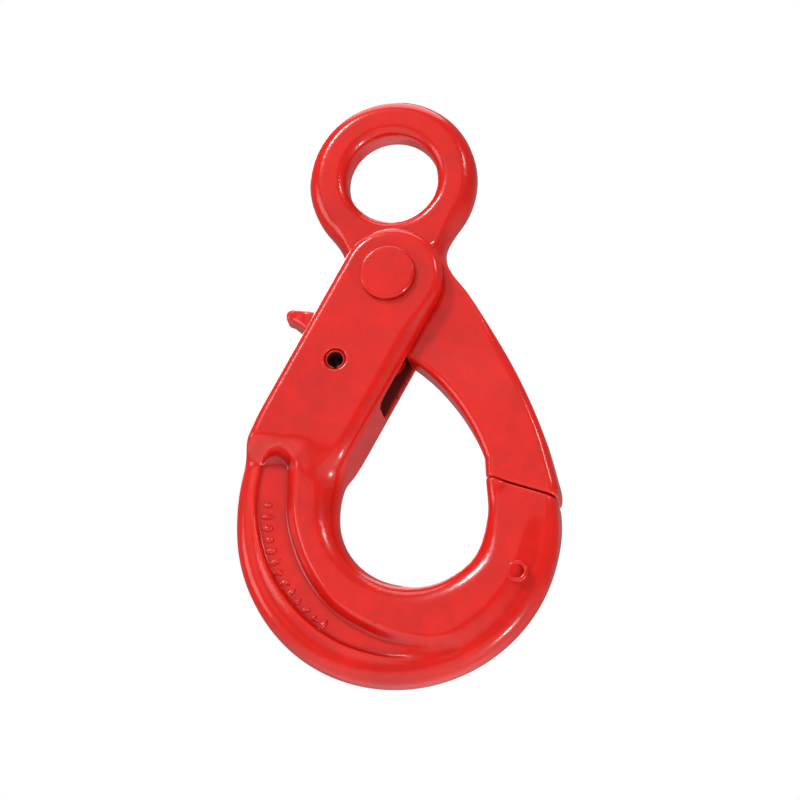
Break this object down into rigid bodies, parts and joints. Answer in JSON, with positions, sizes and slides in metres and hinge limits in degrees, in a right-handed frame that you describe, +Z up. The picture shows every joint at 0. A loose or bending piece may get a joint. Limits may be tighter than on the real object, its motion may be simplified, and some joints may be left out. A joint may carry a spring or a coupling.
{
  "type": "self-locking eye hook",
  "caption": "Forged lifting hook with an eye and a hinged body: its long closing arm shuts the throat and a sprung trigger on the back of the shank locks it.",
  "frame": {"origin": "centre of the eye, on its axis and in the middle of its thickness", "axes": "+Z up along the load line of the hanging hook, +Y along the eye's axis, +X from the shank towards the nose"},
  "size_m": [0.0929, 0.028, 0.1752],
  "materials": {
    "enamel": "glossy red enamel over a forged surface",
    "pin_steel": "dark phosphated spring pin",
    "spring_steel": "drawn spring wire"
  },
  "bodies": {
    "eye_arm_body": {"eye_arm": "enamel"},
    "hook": {"hook_body": "enamel", "load_pin": "enamel", "trigger_pin": "pin_steel"},
    "trigger_lever": {"trigger": "enamel", "trigger_spring": "spring_steel"}
  },
  "joints": [
    {"name": "hook_open", "type": "hinge", "parent": "eye_arm_body", "child": "hook", "pos_m": [-0.0019, 0, -0.0317], "axis": [0, 1, 0], "range_deg": [0, 45]},
    {"name": "trigger_press", "type": "hinge", "parent": "hook", "child": "trigger_lever", "pos_m": [-0.0184, 0, -0.0556], "axis": [0, 1, 0], "range_deg": [0, 18], "stiffness_Nm_per_rad": 0.2, "springref_deg": -22.92}
  ],
  "couplings": [
    {"joint": "trigger_press", "follows": "hook_open", "ratio": 0.4}
  ]
}
